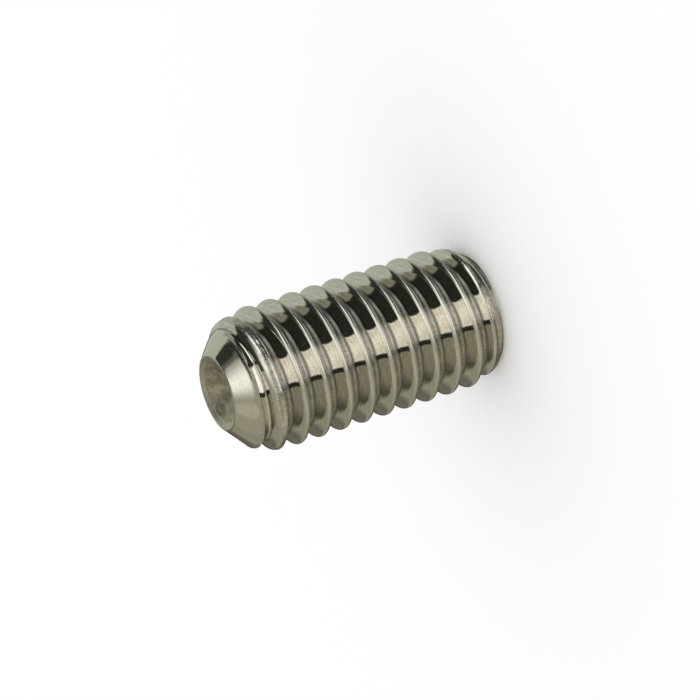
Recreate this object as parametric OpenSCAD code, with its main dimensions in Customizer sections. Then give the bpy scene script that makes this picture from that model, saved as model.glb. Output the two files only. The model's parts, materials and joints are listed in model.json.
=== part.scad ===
// Socket set screw (grub screw), cup point, metric coarse thread.
// It stands on its drive end: the drive face lies in the plane z = 0, the axis
// is +Z, and the cup point is at the top.

/* [Thread] */
// Major diameter of the thread
thread_d = 6; // [5.6:0.1:7]
// Pitch of the thread
pitch = 1; // [0.8:0.05:1.1]
// Angle about the axis at which a crest leaves the plane of the drive face
start_angle = 85; // [0:1:359]
// Facets of the groove in each turn
turn_steps = 36; // [30:2:48]
// Angle to the axis at which the crests taper at both ends, where they are not fully rolled
taper_angle = 17; // [14:1:25]

/* [Body] */
// Length over all, from the drive face to the cup's edge
screw_l = 12; // [9:0.5:16]

/* [Drive end] */
// How far the drive face's rim lies inside the crests
drive_rim_depth = 0.6; // [0.55:0.01:0.65]
// Height of the drive end's chamfer
drive_chamfer_h = 0.27; // [0.2:0.01:0.35]
// Angle of the drive end's chamfer to the axis
drive_chamfer_angle = 45; // [40:1:50]

/* [Hex socket] */
// Width across the flats of the socket
hex_af = 3; // [2.4:0.1:3.2]
// Depth of the socket at its corners
hex_depth = 3.5; // [2.5:0.1:4]
// Slope of the socket's conical bottom, from the plane across the axis
hex_bottom_slope = 31; // [20:1:45]
// How far the mouth's countersink reaches past the socket's corners
mouth_margin = 0.08; // [0.05:0.01:0.12]
// Slope of the mouth's countersink, from the plane across the axis
mouth_slope = 30; // [20:1:45]

/* [Cup point] */
// Diameter of the cup's edge, over the crest of its lip
cup_edge_d = 3.1; // [2.4:0.05:3.3]
// Angle of the point's chamfer to the axis
point_chamfer_angle = 48; // [40:1:50]
// How far the outer edge of the point's chamfer lies inside the crests
point_chamfer_depth = 0.29; // [0.2:0.01:0.4]
// Slope of the cup's cone, from the plane across the axis
cup_slope = 31; // [20:1:40]
// Radius of the lip between the cup and the chamfer
lip_radius = 0.13; // [0.05:0.01:0.2]

/* [Hidden] */

$fn = 72;
HEX_SIDES = 6;
LIP_STEPS = 3;              // straight pieces on each side of the lip's crest
ROOT_STEPS = 4;             // straight pieces of the thread root's arc
OVERSHOOT = 0.01;           // how far a cutter passes the face that it opens
CREST_MARGIN = 0.02;        // how far the groove's cutter passes the crests, in pitches

thread_r = thread_d / 2;

// Metric 60 degree profile: flat crests and a round root, in shares of the pitch
FLANK_ANGLE = 30;
CREST_FLAT = 1 / 8;
ROOT_ROUND = 1 / 8;
crest_gap = pitch * (1 - CREST_FLAT);
root_round = pitch * ROOT_ROUND;
sharp_depth = crest_gap / 2 / tan(FLANK_ANGLE);
root_r = thread_r - sharp_depth + root_round * (1 / sin(FLANK_ANGLE) - 1);

// The groove's cutter passes the crests by less than would make its turns meet
groove_out_r = (thread_r + CREST_MARGIN * pitch) / cos(180 / turn_steps);
groove_half_w = crest_gap / 2 + (groove_out_r - thread_r) * tan(FLANK_ANGLE);
run_over = pitch / 2;       // from each end face to the middle of the groove's own end
groove_steps = ceil((screw_l + 2 * run_over) / pitch * turn_steps);

// The drive end's chamfer, and above it the taper of the crests
drive_face_r = thread_r - drive_rim_depth;
drive_chamfer_r = drive_face_r + drive_chamfer_h * tan(drive_chamfer_angle);
drive_taper_z = drive_chamfer_h + (thread_r - drive_chamfer_r) / tan(taper_angle);

hex_corner_r = hex_af / 2 / cos(180 / HEX_SIDES);
mouth_r = hex_corner_r + mouth_margin;

// The lip's arc touches the point's chamfer and the cup's cone
cup_edge_r = cup_edge_d / 2;
lip_z = screw_l - lip_radius;
lip_outer_turn = 90 - point_chamfer_angle;
lip_inner_turn = -cup_slope;

// Point at an angle on an arc about [r, z], measured from +Z towards +r
function on_arc(r, z, radius, turn) = [r + radius * sin(turn), z + radius * cos(turn)];
function arc(r, z, radius, from, to, steps, first = 0) =
    [for (i = [first:steps]) on_arc(r, z, radius, from + (to - from) * i / steps)];

lip_outer = on_arc(cup_edge_r, lip_z, lip_radius, lip_outer_turn);
lip_inner = on_arc(cup_edge_r, lip_z, lip_radius, lip_inner_turn);

// The point's chamfer, and below it the taper of the crests
point_chamfer_r = thread_r - point_chamfer_depth;
point_chamfer_z = lip_outer[1] - (point_chamfer_r - lip_outer[0]) / tan(point_chamfer_angle);
point_taper_z = point_chamfer_z - (thread_r - point_chamfer_r) / tan(taper_angle);
cup_bottom_z = lip_inner[1] - lip_inner[0] * tan(cup_slope);

// Outline of the screw before it is threaded, as [r, z] from the axis round to the axis
function blank_outline() = concat(
    [[0, 0], [drive_face_r, 0], [drive_chamfer_r, drive_chamfer_h],
        [thread_r, drive_taper_z], [thread_r, point_taper_z],
        [point_chamfer_r, point_chamfer_z]],
    arc(cup_edge_r, lip_z, lip_radius, lip_outer_turn, 0, LIP_STEPS),
    arc(cup_edge_r, lip_z, lip_radius, 0, lip_inner_turn, LIP_STEPS, first = 1),
    [[0, cup_bottom_z]]);

// Section of the groove as [r, z] about its middle: a flank, the round root, a flank
function groove_section() = let (root_turn = 90 - FLANK_ANGLE) concat(
    [[groove_out_r, groove_half_w]],
    [for (p = arc(0, root_r + root_round, root_round, 180 - root_turn, 180 + root_turn, ROOT_STEPS))
        [p[1], p[0]]],
    [[groove_out_r, -groove_half_w]]);

// The blank as it is turned, with the chamfer and taper of each end, the lip and the cup
module turned_blank() {
    rotate_extrude() polygon(blank_outline());
}

// The right-hand thread's groove: its section swept along a helix, as one closed solid
module thread_groove() {
    section = groove_section();
    n = len(section);
    points = [for (i = [0:groove_steps], p = section) let (
            turn = start_angle + 360 * i / turn_steps,
            lift = pitch * i / turn_steps - run_over)
        [p[0] * cos(turn), p[0] * sin(turn), p[1] + lift]];
    walls = [for (i = [0:groove_steps - 1], j = [0:n - 1]) let (
            a = i * n + j,
            b = i * n + (j + 1) % n)
        each [[a, b, a + n], [b, b + n, a + n]]];
    first_end = [for (j = [n - 1:-1:0]) j];
    last_end = [for (j = [0:n - 1]) groove_steps * n + j];
    polyhedron(points, concat([first_end], walls, [last_end]));
}

// Hexagonal socket with a conical bottom and a countersunk mouth
module hex_socket() {
    bottom_slope = tan(hex_bottom_slope);
    socket_l = hex_depth + hex_corner_r * bottom_slope;
    intersection() {
        translate([0, 0, -OVERSHOOT])
            cylinder(r = hex_corner_r, h = socket_l + OVERSHOOT, $fn = HEX_SIDES);
        rotate_extrude()
            polygon([[0, -2 * OVERSHOOT], [mouth_r, -2 * OVERSHOOT],
                [mouth_r, hex_depth - mouth_margin * bottom_slope], [0, socket_l]]);
    }
    translate([0, 0, -OVERSHOOT])
        cylinder(r1 = mouth_r + OVERSHOOT / tan(mouth_slope), r2 = 0,
            h = mouth_r * tan(mouth_slope) + OVERSHOOT);
}

module set_screw() {
    color([0.66, 0.66, 0.6])
        difference() {
            turned_blank();
            thread_groove();
            hex_socket();
        }
}

set_screw();
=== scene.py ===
import json
import math

import bmesh
import bpy
import numpy as np
from mathutils import Matrix, Vector


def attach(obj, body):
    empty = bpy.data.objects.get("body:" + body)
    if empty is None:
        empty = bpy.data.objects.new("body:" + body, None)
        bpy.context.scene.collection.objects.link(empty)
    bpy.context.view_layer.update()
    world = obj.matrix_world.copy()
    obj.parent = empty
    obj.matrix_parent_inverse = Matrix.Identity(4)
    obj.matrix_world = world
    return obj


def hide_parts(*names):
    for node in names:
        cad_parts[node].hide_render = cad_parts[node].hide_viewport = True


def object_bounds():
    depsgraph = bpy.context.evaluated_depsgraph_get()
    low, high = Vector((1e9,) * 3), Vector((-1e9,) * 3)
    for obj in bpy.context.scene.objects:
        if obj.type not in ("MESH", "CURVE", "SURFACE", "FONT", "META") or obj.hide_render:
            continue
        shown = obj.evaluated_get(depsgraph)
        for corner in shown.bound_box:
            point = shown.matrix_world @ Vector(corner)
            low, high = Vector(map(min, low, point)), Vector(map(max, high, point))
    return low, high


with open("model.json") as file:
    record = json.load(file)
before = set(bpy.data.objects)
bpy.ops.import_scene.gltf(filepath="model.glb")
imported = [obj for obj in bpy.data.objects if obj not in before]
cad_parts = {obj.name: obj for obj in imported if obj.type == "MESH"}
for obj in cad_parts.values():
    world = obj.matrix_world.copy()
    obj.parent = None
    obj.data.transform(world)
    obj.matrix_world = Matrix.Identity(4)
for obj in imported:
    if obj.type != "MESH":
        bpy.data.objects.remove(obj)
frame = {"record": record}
cad_low, cad_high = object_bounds()

# The screw is one mesh, which stands for the CAD part's solid. It stands on its drive face at z = 0,
# its axis is +Z, and the cup point is at the top.

MM = 0.001

# Sizes of the screw in millimetres. The frame and its record give the main ones, and the others say
# again what the CAD part holds.
record = frame["record"]
mount_sizes = {mount["name"]: mount["dims"] for mount in record["mounts"]}

THREAD_R = cad_high.x / MM
SCREW_L = cad_high.z / MM

PITCH = 1.0
START_TURN = 85 / 360           # turn about the axis at which a crest leaves z = 0
FLANK_ANGLE = math.radians(30)
CREST_FLAT = PITCH / 8
ROOT_ROUND = PITCH / 8          # radius of the root
GROOVE_HALF_W = (PITCH - CREST_FLAT) / 2
SHARP_ROOT_R = THREAD_R - GROOVE_HALF_W / math.tan(FLANK_ANGLE)
ROOT_R = SHARP_ROOT_R + ROOT_ROUND * (1 / math.sin(FLANK_ANGLE) - 1)
ROOT_HALF_W = ROOT_ROUND * math.cos(FLANK_ANGLE)
TAPER = math.radians(17)        # of the crests at both ends, where they are not fully rolled

DRIVE_FACE_R = 2.4
DRIVE_CHAMFER = math.radians(45)
DRIVE_CHAMFER_H = 0.27
DRIVE_CHAMFER_R = DRIVE_FACE_R + DRIVE_CHAMFER_H * math.tan(DRIVE_CHAMFER)

HEX_SIDES = 6
HEX_FLAT_R = mount_sizes["hex_socket"]["r_mm"]
HEX_DEPTH = mount_sizes["hex_socket"]["length_mm"]
HEX_BOTTOM_SLOPE = math.radians(31)
HEX_CORNER_R = HEX_FLAT_R / math.cos(math.pi / HEX_SIDES)
MOUTH_MARGIN = 0.08             # from the socket's corners to the edge of its countersunk mouth
MOUTH_R = HEX_CORNER_R + MOUTH_MARGIN
MOUTH_SLOPE = math.radians(30)

CUP_EDGE_R = mount_sizes["cup_point"]["r_mm"]
CUP_SLOPE = math.radians(31)
CUP_RIM_R = 1.3                 # the rough middle of the cup ends here, and a smoother rim begins
LIP_RADIUS = 0.13
LIP_Z = SCREW_L - LIP_RADIUS
POINT_CHAMFER = math.radians(48)
POINT_CHAMFER_DEPTH = 0.29      # from the full crests to the chamfer's outer edge
POINT_CHAMFER_R = THREAD_R - POINT_CHAMFER_DEPTH
LIP_OUTER_TURN = math.pi / 2 - POINT_CHAMFER
LIP_INNER_TURN = -CUP_SLOPE
LIP_TURN = math.radians(15)     # the point's finish ends here on the lip, and the cup's begins

# How far the corners of the real screw are rounded
CREST_ROUND = 0.09              # edges of the full crests
HALF_ROLLED_ROUND = 0.14        # edges of the crests that are not fully rolled
CHAMFER_ROUND = 0.02            # turned corners

# How far below the full crests a crest begins to look unrolled, and how far below it wholly does
NOT_ROLLED_DEPTHS = (0.02, 0.2)

# Marks where the rolling dies came off the bar. At the point they opened the last groove, raised a
# burr beside it and left a short fold. At the drive end they left a longer fold along the crest.
# LAST_GROOVE_Z and BURR_END_Z are heights of the groove's middle: the groove opens between the two,
# and the burr is whole up to the lower one and gone at the higher one.
LAST_GROOVE_SPREAD = 0.12
LAST_GROOVE_Z = (SCREW_L - 1.7, SCREW_L - 0.9)
BURR_HEIGHT = 0.085
BURR_HALF_W = 0.12
BURR_RISE = 0.2                 # from the chamfer's lower edge up to where the burr is whole
BURR_END_Z = (SCREW_L - 0.78, SCREW_L - 0.92)
BURR_FINISH_HEIGHT = BURR_HEIGHT / 3    # a burr higher than this has its own finish
FOLD_HALF_W = 0.045
FOLD_DEPTH = 0.07
FOLD_SHIFT = 0.05               # towards the point, from the middle of the crest
FOLD_END_Z = 1.5
FOLD_FADE = 0.5
POINT_FOLD_Z = (SCREW_L - 1.55, SCREW_L - 1.36)
POINT_FOLD_FADE = 0.03

# Grid of the mesh
COLUMNS = 216                   # round the axis; a multiple of six puts columns on the hex corners
EDGE_ROWS = 5
FOLD_ROWS = 5
FLANK_ROWS = 3
ROOT_ROWS = 7
ROWS_PER_PASS = FOLD_ROWS + 2 + 2 * EDGE_ROWS + 2 * FLANK_ROWS + ROOT_ROWS
EDGE_SHARE = 0.6                # half width of the edge rows, as a share of the edge's rounding
CORNER_ROWS = 5                 # level rows at each turned corner
CHAMFER_SHARES = (0.4, 0.6, 0.8)        # level rows up the point's chamfer
LIP_STEPS = 9
CUP_SHARES = (0.94, 0.87, 0.8, 0.68, 0.56, 0.44, 0.32, 0.2, 0.1, 0.04)
SOCKET_ROWS = 13
SOCKET_BOTTOM_SHARES = (0.85, 0.7, 0.55, 0.4, 0.25, 0.1)
SEARCH_STEPS = 800              # along the pitch, to find where the groove comes out of the blank
MERGE_DISTANCE = 1e-4
SHARP_ANGLE = math.radians(26)

# Finishes, in the order of the mesh's materials
FLANK, ROOT, HALF_ROLLED, TURNED, CUP, SOCKET = range(6)


def smooth_min(a, b, size):
    """The lower of two heights, with the corner where they cross rounded over that size."""
    near = np.maximum(size - np.abs(a - b), 0) / size
    return np.minimum(a, b) - near * near * size / 4


def groove_r(offset):
    """Radius of the groove at an axial distance from its middle; its flanks go on past the crests."""
    t = np.abs(offset)
    root = ROOT_R + ROOT_ROUND - np.sqrt(np.maximum(ROOT_ROUND ** 2 - t ** 2, 0))
    flank = SHARP_ROOT_R + t / math.tan(FLANK_ANGLE)
    return np.where(t < ROOT_HALF_W, root, flank)


def lip_point(turn):
    """Point [r, z] of the lip's arc at an angle measured outwards from +Z."""
    return CUP_EDGE_R + LIP_RADIUS * math.sin(turn), LIP_Z + LIP_RADIUS * math.cos(turn)


LIP_OUTER_R, TOP_Z = lip_point(LIP_OUTER_TURN)
POINT_CHAMFER_Z = TOP_Z - (POINT_CHAMFER_R - LIP_OUTER_R) / math.tan(POINT_CHAMFER)


def blank_r(z):
    """Radius of the screw before it is threaded, with the chamfers of both ends carried on past them."""
    drive_chamfer = DRIVE_FACE_R + z * math.tan(DRIVE_CHAMFER)
    drive_taper = DRIVE_CHAMFER_R + (z - DRIVE_CHAMFER_H) * math.tan(TAPER)
    point_chamfer = LIP_OUTER_R + (TOP_Z - z) * math.tan(POINT_CHAMFER)
    point_taper = POINT_CHAMFER_R + (POINT_CHAMFER_Z - z) * math.tan(TAPER)
    drive = smooth_min(drive_chamfer, drive_taper, CHAMFER_ROUND)
    point = smooth_min(point_chamfer, point_taper, CHAMFER_ROUND)
    return smooth_min(np.minimum(drive, point), THREAD_R, CHAMFER_ROUND)


def groove_middle(turn):
    """Height of the groove's middle after that many turns from +X."""
    return PITCH * (turn - START_TURN + 0.5)


def ease(value, start, end):
    """0 before the start, 1 after the end, and eased between them."""
    share = np.clip((value - start) / (end - start), 0, 1)
    return share * share * (3 - 2 * share)


def groove_spread(middle):
    """How much wider than its section the groove is, on the side of the point."""
    return LAST_GROOVE_SPREAD * ease(middle, *LAST_GROOVE_Z)


def in_section(offset, middle):
    """Where a place at an axial distance from the groove's middle lies in the groove's section."""
    wider = groove_spread(middle)
    return offset - wider * ease(offset, -ROOT_HALF_W, ROOT_HALF_W + wider)


def nearest_groove(z, turn):
    """Height of the middle of the groove's nearest pass."""
    return z - ((z - groove_middle(turn) + PITCH / 2) % PITCH - PITCH / 2)


def from_groove(z, turn):
    """Axial distance from the middle of the nearest groove, as it is in the groove's section."""
    middle = nearest_groove(z, turn)
    return in_section(z - middle, middle)


def not_rolled(z):
    """0 where the crests have their full height, up to 1 where they are well below it."""
    return ease(THREAD_R - blank_r(z), *NOT_ROLLED_DEPTHS)


def edge_round(z):
    """How far the edges of the crests are rounded."""
    return CREST_ROUND + (HALF_ROLLED_ROUND - CREST_ROUND) * not_rolled(z)


def fold_depth(z, turn):
    """Depth of the folds along the crests, one near the drive end and a short one at the point."""
    across = from_groove(z - PITCH / 2 - FOLD_SHIFT, turn)
    at_drive_end = ease(z, 0, DRIVE_CHAMFER_H) * ease(z, FOLD_END_Z, FOLD_END_Z - FOLD_FADE)
    start, end = POINT_FOLD_Z
    at_point = ease(z, start, start + POINT_FOLD_FADE) * ease(z, end, end - POINT_FOLD_FADE)
    along = not_rolled(z) * (at_drive_end + at_point)
    return FOLD_DEPTH * along * np.maximum(1 - np.abs(across) / FOLD_HALF_W, 0)


def burr_height(z, turn):
    """Height of the burr on the point's chamfer, along the upper edge of the last groove."""
    offset = from_groove(z, turn)
    from_edge = (groove_r(offset) - blank_r(z)) / BURR_HALF_W
    along = ease(z, POINT_CHAMFER_Z, POINT_CHAMFER_Z + BURR_RISE) * (offset > 0)
    along = along * ease(nearest_groove(z, turn), *BURR_END_Z)
    return BURR_HEIGHT * along * np.exp(-from_edge * from_edge)


def surface_r(z, turn):
    """Radius of the threaded screw at a height and a turn about the axis."""
    threaded = smooth_min(groove_r(from_groove(z, turn)), blank_r(z), edge_round(z))
    return threaded + burr_height(z, turn) - fold_depth(z, turn)


def finish_at(z, turn):
    """Which finish the outside has at a height and a turn about the axis."""
    offset = from_groove(z, turn)
    on_blank = groove_r(offset) > blank_r(z)
    on_burr = on_blank & (burr_height(z, turn) > BURR_FINISH_HEIGHT)
    turned = on_blank & ~on_burr & ((z < DRIVE_CHAMFER_H) | (z > POINT_CHAMFER_Z))
    half_rolled = on_burr | (on_blank & (blank_r(z) < THREAD_R - CHAMFER_ROUND))
    in_root = ~on_blank & (np.abs(offset) < ROOT_HALF_W) & (z < LAST_GROOVE_Z[0])
    return np.select([turned, half_rolled, in_root], [TURNED, HALF_ROLLED, ROOT], FLANK)


def groove_sides(middle):
    """The two heights at which the groove comes out of the blank; one height where it cuts nothing."""
    offsets = np.linspace(-PITCH / 2, PITCH / 2, SEARCH_STEPS + 1)
    left_over = groove_r(in_section(offsets, middle[..., None])) - blank_r(middle[..., None] + offsets)
    cut = left_over < 0
    lowest = offsets[np.argmin(left_over, axis=-1)]
    low = offsets[np.argmax(cut, axis=-1)]
    high = offsets[SEARCH_STEPS - np.argmax(cut[..., ::-1], axis=-1)]
    found = cut.any(axis=-1)
    return middle + np.where(found, low, lowest), middle + np.where(found, high, lowest)


def rows_between(low, high, count, ends=False):
    """Rows between two heights, evenly spaced, with or without the ends themselves."""
    steps = np.linspace(0, 1, count) if ends else np.arange(1, count + 1) / (count + 1)
    return low[..., None] + (high - low)[..., None] * steps


def level_rows():
    """Heights of the rows that go level round the screw: at its turned corners and up the point."""
    around_corner = CHAMFER_ROUND * np.linspace(-2, 2, CORNER_ROWS)
    on_chamfer = POINT_CHAMFER_Z + (TOP_Z - POINT_CHAMFER_Z) * np.array(CHAMFER_SHARES)
    at_corners = [DRIVE_CHAMFER_H + around_corner, POINT_CHAMFER_Z + around_corner]
    return np.concatenate([*at_corners, on_chamfer])


def thread_rows(turns):
    """Heights of the mesh's rows in each column, from the drive face to the lip.

    The rows keep to the thread's land, edges, flanks and root, so they climb with the helix. Past the
    ends of the thread and of the screw they fall together, and merging removes them.
    """
    passes = np.arange(-1, round(SCREW_L / PITCH) + 3)
    middle = groove_middle(turns[:, None] + passes)
    low, high = groove_sides(middle)
    low_edge = np.minimum(EDGE_SHARE * edge_round(low), (high - low) / 4)
    high_edge = np.minimum(EDGE_SHARE * edge_round(high), (high - low) / 4)
    edge_steps = np.linspace(-1, 1, EDGE_ROWS)
    root_low = np.clip(middle - ROOT_HALF_W, low + low_edge, high - high_edge)
    root_high = np.clip(middle + ROOT_HALF_W + groove_spread(middle), low + low_edge, high - high_edge)

    land_low = np.concatenate([low[:, :1] - CREST_FLAT, (high + high_edge)[:, :-1]], axis=1)
    land_high = low - low_edge
    fold_middle = middle - PITCH / 2 + FOLD_SHIFT
    fold_low = np.clip(fold_middle - FOLD_HALF_W, land_low, land_high)
    fold_high = np.clip(fold_middle + FOLD_HALF_W, land_low, land_high)

    rows = np.concatenate([
        rows_between(land_low, fold_low, 1),
        rows_between(fold_low, fold_high, FOLD_ROWS, ends=True),
        rows_between(fold_high, land_high, 1),
        low[..., None] + low_edge[..., None] * edge_steps,
        rows_between(low + low_edge, root_low, FLANK_ROWS),
        rows_between(root_low, root_high, ROOT_ROWS, ends=True),
        rows_between(root_high, high - high_edge, FLANK_ROWS),
        high[..., None] + high_edge[..., None] * edge_steps,
    ], axis=-1).reshape(len(turns), -1)
    rows = np.concatenate([rows, np.tile(level_rows(), (len(turns), 1))], axis=1)
    return np.clip(np.sort(rows, axis=1), 0, TOP_Z)


class Skin:
    """The mesh while it is made: its points in millimetres, its faces and each face's finish."""

    def __init__(self, turns):
        self.angles = turns * math.tau
        self.columns = len(turns)
        self.points = []
        self.count = 0
        self.faces = []
        self.finishes = []
        self.bottom = None              # numbers of the outside's lowest points, one to a column
        self.top = None                 # and of its highest

    def add_points(self, r, angles, z):
        """Points in polar form; gives the number of the first."""
        x, y, z = np.broadcast_arrays(r * np.cos(angles), r * np.sin(angles), z)
        self.points.append(np.stack([x, y, z], -1).reshape(-1, 3))
        first = self.count
        self.count += x.size
        return first

    def add_face(self, corners, finish, flip=False):
        self.faces.append(corners[::-1] if flip else corners)
        self.finishes.append(finish)

    def add_side(self, rows, radius, finishes):
        """The outside, column by column. One turn up the helix, the rows meet those of the next pass."""
        count = rows.shape[1]
        first = self.add_points(radius, self.angles[:, None], rows)
        for i in range(self.columns):
            j = (i + 1) % self.columns
            lift = ROWS_PER_PASS if j == 0 else 0
            for k in range(count - 1):
                low = min(k + lift, count - 1)
                high = min(k + lift + 1, count - 1)
                here = first + i * count
                there = first + j * count
                corners = (here + k, there + low, there + high, here + k + 1)
                self.add_face(corners, int(finishes[i, k]))
        self.bottom = first + count * np.arange(self.columns)
        self.top = self.bottom + count - 1

    def add_rings(self, before, rings, apex_z, flip=False):
        """Rings of revolution, each joined to the one before, and a fan to a point on the axis."""
        for r, z, finish in rings:
            ring = self.add_points(r, self.angles, z) + np.arange(self.columns)
            for i in range(self.columns):
                j = (i + 1) % self.columns
                self.add_face((before[i], before[j], ring[j], ring[i]), finish, flip)
            before = ring
        apex = self.add_points(0, np.zeros(1), apex_z)
        last_finish = rings[-1][2]
        for i in range(self.columns):
            self.add_face((before[i], before[(i + 1) % self.columns], apex), last_finish, flip)

    def to_mesh(self, name):
        """A mesh in metres, with the points that fell together joined and its sharp edges marked."""
        mesh = bpy.data.meshes.new(name)
        faces = [[int(corner) for corner in face] for face in self.faces]
        mesh.from_pydata(np.concatenate(self.points) * MM, [], faces)
        mesh.polygons.foreach_set("material_index", self.finishes)
        work = bmesh.new()
        work.from_mesh(mesh)
        bmesh.ops.remove_doubles(work, verts=work.verts, dist=MERGE_DISTANCE * MM)
        work.to_mesh(mesh)
        work.free()
        mesh.shade_smooth()
        mesh.set_sharp_from_angle(angle=SHARP_ANGLE)
        return mesh


def cup_rings():
    """Rings (r, z, finish) from the chamfer's upper end over the lip and down the cup."""
    turns = np.linspace(LIP_OUTER_TURN, LIP_INNER_TURN, LIP_STEPS + 1)[1:]
    rings = [(*lip_point(turn), TURNED if turn > LIP_TURN else CUP) for turn in turns]
    edge_r, edge_z, _ = rings[-1]
    for share in CUP_SHARES:
        r = edge_r * share
        rings.append((r, edge_z - (edge_r - r) * math.tan(CUP_SLOPE), CUP))
    return rings


def socket_rings(turns):
    """Rings (r, z, finish) from the drive face's rim into the socket and down to its bottom."""
    side_angle = math.tau / HEX_SIDES
    hex_r = HEX_FLAT_R / np.cos((turns * math.tau) % side_angle - side_angle / 2)
    mouth_z = (MOUTH_R - hex_r) * math.tan(MOUTH_SLOPE)
    bottom_z = HEX_DEPTH + (HEX_CORNER_R - hex_r) * math.tan(HEX_BOTTOM_SLOPE)
    rings = [(MOUTH_R, 0, TURNED)]
    for share in np.linspace(0, 1, SOCKET_ROWS):
        rings.append((hex_r, mouth_z + (bottom_z - mouth_z) * share, SOCKET))
    for share in SOCKET_BOTTOM_SHARES:
        drop = hex_r * (1 - share) * math.tan(HEX_BOTTOM_SLOPE)
        rings.append((hex_r * share, bottom_z + drop, SOCKET))
    return rings


def build_screw():
    """The whole screw as one closed mesh: thread and chamfers, lip and cup, drive face and socket."""
    turns = np.arange(COLUMNS) / COLUMNS
    rows = thread_rows(turns)
    between = (rows[:, 1:] + rows[:, :-1]) / 2
    skin = Skin(turns)
    skin.add_side(rows, surface_r(rows, turns[:, None]), finish_at(between, turns[:, None]))
    lip_inner_r, lip_inner_z = lip_point(LIP_INNER_TURN)
    cup_bottom_z = lip_inner_z - lip_inner_r * math.tan(CUP_SLOPE)
    skin.add_rings(skin.top, cup_rings(), cup_bottom_z)
    socket_bottom_z = HEX_DEPTH + HEX_CORNER_R * math.tan(HEX_BOTTOM_SLOPE)
    skin.add_rings(skin.bottom, socket_rings(turns), socket_bottom_z, flip=True)
    return skin.to_mesh("screw_surface")


class Tree:
    """Short ways to add nodes to a node tree."""

    def __init__(self, owner):
        owner.use_nodes = True
        self.nodes = owner.node_tree.nodes
        self.links = owner.node_tree.links

    def feed(self, socket, value):
        """Links a socket to another, or sets its value; None leaves it alone."""
        if isinstance(value, bpy.types.NodeSocket):
            self.links.new(value, socket)
        elif value is not None:
            socket.default_value = value

    def add(self, kind, *values, **settings):
        """A node with its settings, and its inputs fed in order."""
        node = self.nodes.new(kind)
        for name, value in settings.items():
            setattr(node, name, value)
        for socket, value in zip(node.inputs, values):
            self.feed(socket, value)
        return node

    def math(self, operation, *values):
        return self.add("ShaderNodeMath", *values, operation=operation).outputs[0]

    def vector(self, operation, first, second):
        return self.add("ShaderNodeVectorMath", first, second, operation=operation).outputs["Vector"]

    def dot(self, first, second):
        return self.add("ShaderNodeVectorMath", first, second, operation="DOT_PRODUCT").outputs["Value"]

    def ramp(self, value, start, end, low=0.0, high=1.0):
        """From low at the value's start to high at its end, eased at both."""
        inputs = (value, start, end, low, high)
        return self.add("ShaderNodeMapRange", *inputs, interpolation_type="SMOOTHSTEP").outputs[0]

    def band(self, value, start, end, soft):
        """1 between start and end, easing to 0 over the soft width outside them."""
        rise = self.ramp(value, start - soft, start)
        fall = self.ramp(value, end, end + soft, 1.0, 0.0)
        return self.math("MULTIPLY", rise, fall)

    def mix(self, factor, first, second):
        """A mix of two colours, each a socket or three numbers."""
        node = self.add("ShaderNodeMix", factor, data_type="RGBA")
        first_socket, second_socket = node.inputs[6:8]      # the two that take colours
        for socket, value in ((first_socket, first), (second_socket, second)):
            self.feed(socket, value if isinstance(value, bpy.types.NodeSocket) else (*value, 1))
        return node.outputs[2]


NOISE_SCALE = 1.0               # of the noise node itself, because its coordinates are scaled already
NOISE_DETAIL = 3.0
NOISE_RANGE = (0.3, 0.7)


class Steel(Tree):
    """A finish of the stainless steel: a metal shader, and nodes that vary it over the surface."""

    def __init__(self, name):
        self.material = bpy.data.materials.new(name)
        super().__init__(self.material)
        self.shader = self.nodes["Principled BSDF"]
        self.shader.inputs["Metallic"].default_value = 1
        coordinates = self.add("ShaderNodeTexCoord").outputs["Object"]
        self.place = self.vector("MULTIPLY", coordinates, (1 / MM,) * 3)
        self.x, self.y, self.z = self.add("ShaderNodeSeparateXYZ", self.place).outputs

    def noise(self, per_mm, place=None):
        """Noise from 0 to 1 with that many spots to the millimetre, one number or one for each axis."""
        scale = per_mm if isinstance(per_mm, tuple) else (per_mm,) * 3
        place = self.vector("MULTIPLY", place or self.place, scale)
        return self.add("ShaderNodeTexNoise", place, None, NOISE_SCALE, NOISE_DETAIL).outputs[0]

    def vary(self, noise, low=0.0, high=1.0):
        """From low to high over the values that a noise mostly has."""
        return self.ramp(noise, *NOISE_RANGE, low, high)

    def from_axis(self):
        """Distance from the screw's axis."""
        squares = (self.math("MULTIPLY", self.x, self.x), self.math("MULTIPLY", self.y, self.y))
        return self.math("SQRT", self.math("ADD", *squares))

    def thread_across(self):
        """Place across the thread in pitches: 0 at the root, and half a pitch off it at the crests.

        The side that faces the cup is the negative one.
        """
        turn = self.math("DIVIDE", self.math("ARCTAN2", self.y, self.x), math.tau)
        up = self.math("SUBTRACT", self.math("DIVIDE", self.z, PITCH), turn)
        return self.math("WRAP", self.math("ADD", up, START_TURN - 0.5), 0.5, -0.5)

    def along_thread(self, across):
        """Coordinates in which a noise can be drawn out along the thread."""
        return self.add("ShaderNodeCombineXYZ", self.x, self.y, across).outputs[0]

    def finish(self, colour, roughness, relief, depth):
        """Links the colour, the roughness and a relief that is that deep in millimetres."""
        bump = self.add("ShaderNodeBump")
        bump.inputs["Distance"].default_value = depth * MM
        self.feed(bump.inputs["Height"], relief)
        self.feed(self.shader.inputs["Base Color"], colour)
        self.feed(self.shader.inputs["Roughness"], roughness)
        self.feed(self.shader.inputs["Normal"], bump.outputs["Normal"])
        return self.material


STEEL_COLOUR = tuple(record["materials"][0]["base_color"])
BUFFED = (0.66, 0.65, 0.56)
CUP_DARK = (0.30, 0.275, 0.215)
CUP_LIGHT = (0.50, 0.455, 0.36)
CUP_RIM = (0.50, 0.49, 0.41)
CUP_RIM_SOFT = 0.1              # how wide the rim's inner edge is, in millimetres
CUP_RIM_WAVER = 0.1             # and how far it wavers

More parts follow.
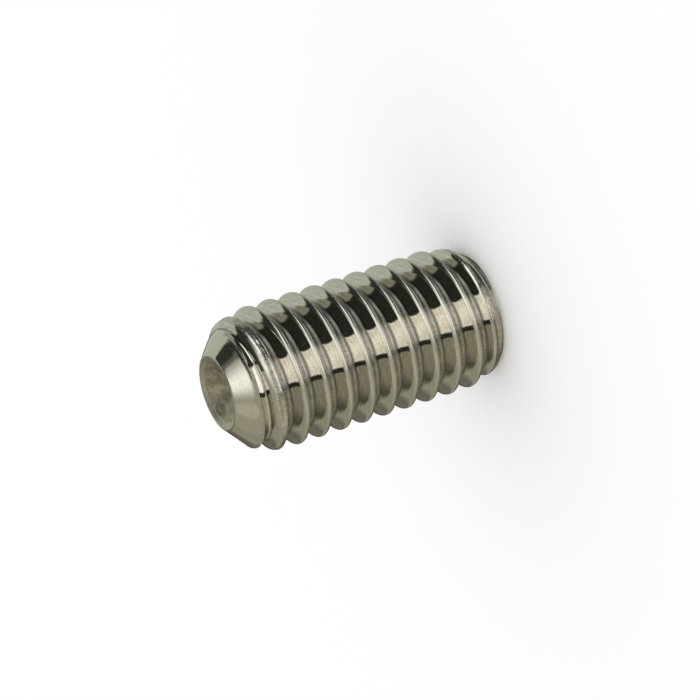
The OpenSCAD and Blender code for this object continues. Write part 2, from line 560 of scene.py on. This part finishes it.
# Bands of the thread's finishes and of its painted shade and painted shadow lines, as places across the
# thread in pitches
CREST_FINISH = (0.42, 0.46)     # begins at the first and is full at the second, on both sides
# Painted shadow line at the foot of the flank that faces the cup
PAINTED_FOOT_SHADOW = (-0.13, -0.09)
# Painted shadow line at the root's edge next to that flank, and painted shade over the root's side away
# from the cup
PAINTED_ROOT_EDGE_SHADOW = (-0.13, -0.08)
PAINTED_ROOT_FAR_SHADE = (-0.01, 0.12)
BAND_SOFT = 0.02


def tone(share):
    """The steel's colour, lighter or darker."""
    return tuple(channel * share for channel in STEEL_COLOUR)


def rolled_thread():
    """Bright flanks and rubbed crests, with a painted shadow line where the flank towards the cup ends.
    """
    steel = Steel("rolled_thread")
    across = steel.thread_across()
    grain = steel.noise(14)
    streaks = steel.noise((1.5, 1.5, 22), steel.along_thread(across))
    on_crest = steel.ramp(steel.math("ABSOLUTE", across), *CREST_FINISH)
    # Mask of a painted shadow line at the foot of the flank that faces the cup
    painted_foot_shadow = steel.band(across, *PAINTED_FOOT_SHADOW, BAND_SOFT)

    mottled = steel.ramp(steel.math("ADD", streaks, grain), 0.7, 1.3)
    colour = steel.mix(mottled, tone(0.85), tone(1.13))
    colour = steel.mix(on_crest, colour, tone(0.98))
    # Painted shadow: that line is darkened towards a dark tone of the steel
    colour = steel.mix(steel.math("MULTIPLY", painted_foot_shadow, 0.7), colour, tone(0.3))
    flank_roughness = steel.vary(grain, 0.04, 0.07)
    roughness = steel.math("ADD", steel.math("MULTIPLY", on_crest, 0.28), flank_roughness)
    relief = steel.math("MULTIPLY", grain, steel.ramp(on_crest, 0.0, 1.0, 0.15, 1.0))
    return steel.finish(colour, roughness, relief, 0.003)


def rolled_root():
    """Combed round the screw by the dies, so that it spreads reflections along the axis.

    Painted shade darkens the side away from the cup, and a painted shadow line darkens the edge next to
    the flank that faces it.
    """
    steel = Steel("rolled_root")
    across = steel.thread_across()
    grain = steel.noise(12)
    combed = steel.noise((2, 2, 30), steel.along_thread(across))
    # Painted shade over the root's side away from the cup
    painted_far_shade = steel.ramp(across, *PAINTED_ROOT_FAR_SHADE, 0.0, 0.25)
    # A painted shadow line at the root's edge next to the flank that faces the cup
    painted_edge_shadow = steel.band(across, *PAINTED_ROOT_EDGE_SHADOW, BAND_SOFT)

    mottled = steel.ramp(steel.math("ADD", combed, grain), 0.75, 1.25)
    colour = steel.mix(mottled, tone(0.6), tone(1.08))
    # Painted shade and a painted shadow line darken the root's colour here
    colour = steel.mix(painted_far_shade, colour, tone(0.0))
    colour = steel.mix(painted_edge_shadow, colour, tone(0.45))
    roughness = steel.vary(grain, 0.4, 0.5)
    tangent = steel.add("ShaderNodeTangent", direction_type="RADIAL", axis="Z").outputs[0]
    steel.feed(steel.shader.inputs["Tangent"], tangent)
    steel.shader.inputs["Anisotropic"].default_value = 0.9
    steel.shader.inputs["Anisotropic Rotation"].default_value = 0.25
    return steel.finish(colour, roughness, combed, 0.003)


def half_rolled_crest():
    """Matt and finely pitted, where the dies never pressed the crest."""
    steel = Steel("half_rolled_crest")
    grain = steel.noise(16)
    spots = steel.noise(5)
    pits = steel.noise(9)
    colour = steel.mix(steel.vary(spots), tone(0.76), tone(1.0))
    roughness = steel.vary(grain, 0.17, 0.28)
    relief = steel.math("ADD", grain, steel.math("MULTIPLY", pits, 2.0))
    return steel.finish(colour, roughness, relief, 0.004)


def turned_end():
    """Smooth, with the fine rings that turning leaves and patches buffed to a warmer tone."""
    steel = Steel("turned_end")
    grain = steel.noise(10)
    r = steel.from_axis()
    level = steel.add("ShaderNodeCombineXYZ", r, r, steel.z).outputs[0]
    rings = steel.noise(12, level)
    patches = steel.noise(1.6)
    colour = steel.mix(steel.vary(grain), tone(0.9), tone(1.04))
    colour = steel.mix(steel.ramp(patches, 0.4, 0.6, 0.0, 0.5), colour, BUFFED)
    roughness = steel.vary(grain, 0.05, 0.1)
    return steel.finish(colour, roughness, rings, 0.002)


def drilled_cup():
    """Rough and mottled inside, with a smoother and lighter rim."""
    steel = Steel("drilled_cup")
    blotches = steel.noise(3.2)
    grain = steel.noise(14)
    waver = steel.math("MULTIPLY", blotches, CUP_RIM_WAVER)
    in_rim = steel.ramp(steel.math("ADD", steel.from_axis(), waver), CUP_RIM_R, CUP_RIM_R + CUP_RIM_SOFT)
    mottled = steel.mix(steel.ramp(blotches, 0.35, 0.65), CUP_DARK, CUP_LIGHT)
    speckled = steel.mix(steel.ramp(grain, 0.62, 0.75), mottled, tone(0.95))
    colour = steel.mix(in_rim, speckled, CUP_RIM)
    roughness = steel.vary(grain, 0.32, 0.45)
    relief = steel.math("ADD", blotches, steel.math("MULTIPLY", grain, 0.4))
    relief = steel.math("MULTIPLY", relief, steel.ramp(in_rim, 0.0, 1.0, 1.0, 0.2))
    return steel.finish(colour, roughness, relief, 0.02)


def broached_socket():
    """Scored lengthwise by the broach."""
    steel = Steel("broached_socket")
    scores = steel.noise((18, 18, 0.6))
    colour = steel.mix(steel.vary(scores), tone(0.7), tone(1.0))
    roughness = steel.vary(scores, 0.2, 0.4)
    return steel.finish(colour, roughness, scores, 0.012)


WHITE = (1.0, 1.0, 1.0)
DEGREES = 180 / math.pi         # in a radian

# The studio that the metal reflects. Angles are in degrees: an azimuth is measured from -Y, positive
# towards +X, and an elevation from the horizon.
BLACK_FLAG = (0.035, 0.04, 0.033)
SAGE_WALL = (0.58, 0.60, 0.51)
FLAG_EDGE_TOWARDS = (-0.25, 0.865, -0.435)      # from the flag's edge to the wall behind it
FLAG_EDGE_SOFT = 0.04

FLOOR_FLAG = (0.05, 0.053, 0.045)
OLIVE_WALL = (0.42, 0.41, 0.33)
FLAG_TOP = (0.16, 0.165, 0.14)
UPPER_WALL = (0.46, 0.46, 0.41)
COOL_LIGHT = (1.70, 1.78, 1.72)
WARM_TABLE = (0.42, 0.40, 0.30)
TABLE_GLOW = (0.54, 0.515, 0.39)
TABLE_SIDE = (0.35, 0.335, 0.25)
TABLE_END = (0.18, 0.175, 0.135)
TABLE_SHADE = (0.12, 0.11, 0.075)
SOFTBOX_TOP = (0.64, 0.62, 0.555)
SOFTBOX = (1.42, 1.36, 1.22)
SOFTBOX_FOOT = (1.40, 1.33, 1.18)
SOFTBOX_LAMP = (1.78, 1.69, 1.49)
STUDIO_FLOOR = (0.48, 0.46, 0.38)

NADIR = -100                    # past straight down, so that a panel has no edge there
ZENITH = 100                    # past straight up
REAR = -200                     # past straight behind

# Each panel covers the ones before it: its colour, its azimuths, its elevations, and how many degrees
# its edges take to fade, in azimuth and in elevation
PANELS = (
    (FLOOR_FLAG, (40, 108), (NADIR, -36), (10, 8)),
    (OLIVE_WALL, (103, 128), (-30, 2), (6, 8)),
    (FLAG_TOP, (80, 106), (56, ZENITH), (8, 6)),
    (UPPER_WALL, (-39, 73), (35, ZENITH), (4, 6)),
    (UPPER_WALL, (50, 86), (60, ZENITH), (6, 6)),
    (COOL_LIGHT, (40, 76), (19, 46), (10, 8)),
    (WARM_TABLE, (REAR, -38.5), (NADIR, ZENITH), (1.5, 2)),
    (TABLE_GLOW, (-105, -38.5), (-10, 60), (1.5, 8)),
    (TABLE_SIDE, (REAR, -140), (15, 50), (10, 8)),
    (TABLE_END, (REAR, -157), (-10, 50), (8, 10)),
    (TABLE_SHADE, (REAR, -125), (-40, -10), (50, 14)),
    (SOFTBOX_TOP, (-26, 25), (NADIR, 50), (2.2, 12)),
    (SOFTBOX, (-26, 25), (NADIR, 7), (2.2, 12)),
    (SOFTBOX_FOOT, (-26, 16), (NADIR, -32), (2.2, 12)),
    (SOFTBOX_LAMP, (-3, 3), (NADIR, -32), (16, 8)),
    (STUDIO_FLOOR, (-60, 45), (NADIR, -56), (8, 8)),
)

# Two round parts of the studio, over all the panels
FAR_WALL = (0.1, 0.1, 0.085)
FAR_WALL_TOWARDS = (0.0, 0.924, -0.383)
FAR_WALL_COSINES = (0.93, 0.97)         # of the angle from its middle: at its edge, and where it is full
TOP_LIGHT = (1.45, 1.43, 1.33)
TOP_LIGHT_TOWARDS = (0.11, -0.41, 0.906)
TOP_LIGHT_ANGLES = (34.0, 4.0)          # from its middle: at its edge, and where it is full


def reflected_studio(tree):
    """Colour of the studio in the direction of a reflected ray."""
    direction = tree.add("ShaderNodeTexCoord").outputs["Generated"]
    x, y, z = tree.add("ShaderNodeSeparateXYZ", direction).outputs
    azimuth = tree.math("ARCTAN2", x, tree.math("MULTIPLY", y, -1.0))
    azimuth = tree.math("MULTIPLY", azimuth, DEGREES)
    elevation = tree.math("MULTIPLY", tree.math("ARCSINE", z), DEGREES)

    past_flag = tree.ramp(tree.dot(direction, FLAG_EDGE_TOWARDS), -FLAG_EDGE_SOFT, FLAG_EDGE_SOFT)
    colour = tree.mix(past_flag, BLACK_FLAG, SAGE_WALL)
    for panel, azimuths, elevations, (soft_across, soft_up) in PANELS:
        across = tree.band(azimuth, *azimuths, soft_across)
        up = tree.band(elevation, *elevations, soft_up)
        colour = tree.mix(tree.math("MULTIPLY", across, up), colour, panel)

    in_far_wall = tree.ramp(tree.dot(direction, FAR_WALL_TOWARDS), *FAR_WALL_COSINES)
    colour = tree.mix(in_far_wall, colour, FAR_WALL)
    off_top = tree.math("ARCCOSINE", tree.dot(direction, TOP_LIGHT_TOWARDS))
    in_top_light = tree.ramp(tree.math("MULTIPLY", off_top, DEGREES), *TOP_LIGHT_ANGLES)
    return tree.mix(in_top_light, colour, TOP_LIGHT)


def add_world():
    """White for the camera and for soft light, and the studio for reflections."""
    world = bpy.data.worlds.new("studio")
    bpy.context.scene.world = world
    tree = Tree(world)
    is_reflection = tree.add("ShaderNodeLightPath").outputs["Is Glossy Ray"]
    colour = tree.mix(is_reflection, WHITE, reflected_studio(tree))
    tree.feed(tree.nodes["Background"].inputs["Color"], colour)


FLOOR_HALF_W = 1.0              # in metres


def add_floor():
    """A matt white floor. Reflections don't show it, because they show the studio's own."""
    mesh = bpy.data.meshes.new("floor")
    signs = ((-1, -1), (1, -1), (1, 1), (-1, 1))
    corners = [(x * FLOOR_HALF_W, y * FLOOR_HALF_W, 0) for x, y in signs]
    mesh.from_pydata(corners, [], [(0, 1, 2, 3)])
    floor = bpy.data.objects.new("floor", mesh)
    bpy.context.scene.collection.objects.link(floor)
    material = bpy.data.materials.new("floor_white")
    material.use_nodes = True
    shader = material.node_tree.nodes["Principled BSDF"]
    shader.inputs["Base Color"].default_value = (*WHITE, 1)
    shader.inputs["Roughness"].default_value = 1
    shader.inputs["Specular IOR Level"].default_value = 0
    mesh.materials.append(material)
    floor.visible_glossy = False


# The photograph's camera, as the fit of its outline gives it
CAMERA_ELEVATION = math.radians(22.513)
CAMERA_ROLL = math.radians(-107.931)
CAMERA_DISTANCE = 172.074 * MM
CAMERA_RIGHT = 0.1 * MM         # how far it stands to the right of a straight look at the screw's middle
CAMERA_UP = 0.03 * MM
LENS = 216.35
SENSOR_W = 36
CLIP = (0.01, 10)               # in metres


def add_camera(middle):
    """A camera at the photograph's angle, rolled so that the standing screw lies across the frame."""
    back = Vector((0, -math.cos(CAMERA_ELEVATION), math.sin(CAMERA_ELEVATION)))
    level_right = Vector((1, 0, 0))
    level_up = back.cross(level_right)
    right = math.cos(CAMERA_ROLL) * level_right + math.sin(CAMERA_ROLL) * level_up
    up = back.cross(right)
    data = bpy.data.cameras.new("camera")
    data.lens = LENS
    data.sensor_width = SENSOR_W
    data.clip_start, data.clip_end = CLIP
    camera = bpy.data.objects.new("camera", data)
    shift = right * CAMERA_RIGHT + up * CAMERA_UP
    camera.location = middle + back * CAMERA_DISTANCE + shift
    camera.rotation_mode = "QUATERNION"
    camera.rotation_quaternion = Matrix((right, up, back)).transposed().to_quaternion()
    bpy.context.scene.collection.objects.link(camera)
    bpy.context.scene.camera = camera


screw = bpy.data.objects.new("screw_surface", build_screw())
bpy.context.scene.collection.objects.link(screw)
for make_finish in (rolled_thread, rolled_root, half_rolled_crest,
                    turned_end, drilled_cup, broached_socket):
    screw.data.materials.append(make_finish())
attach(screw, "root")
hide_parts("set_screw")
add_floor()
add_world()
add_camera((cad_low + cad_high) / 2)
bpy.context.scene.view_settings.view_transform = "Standard"
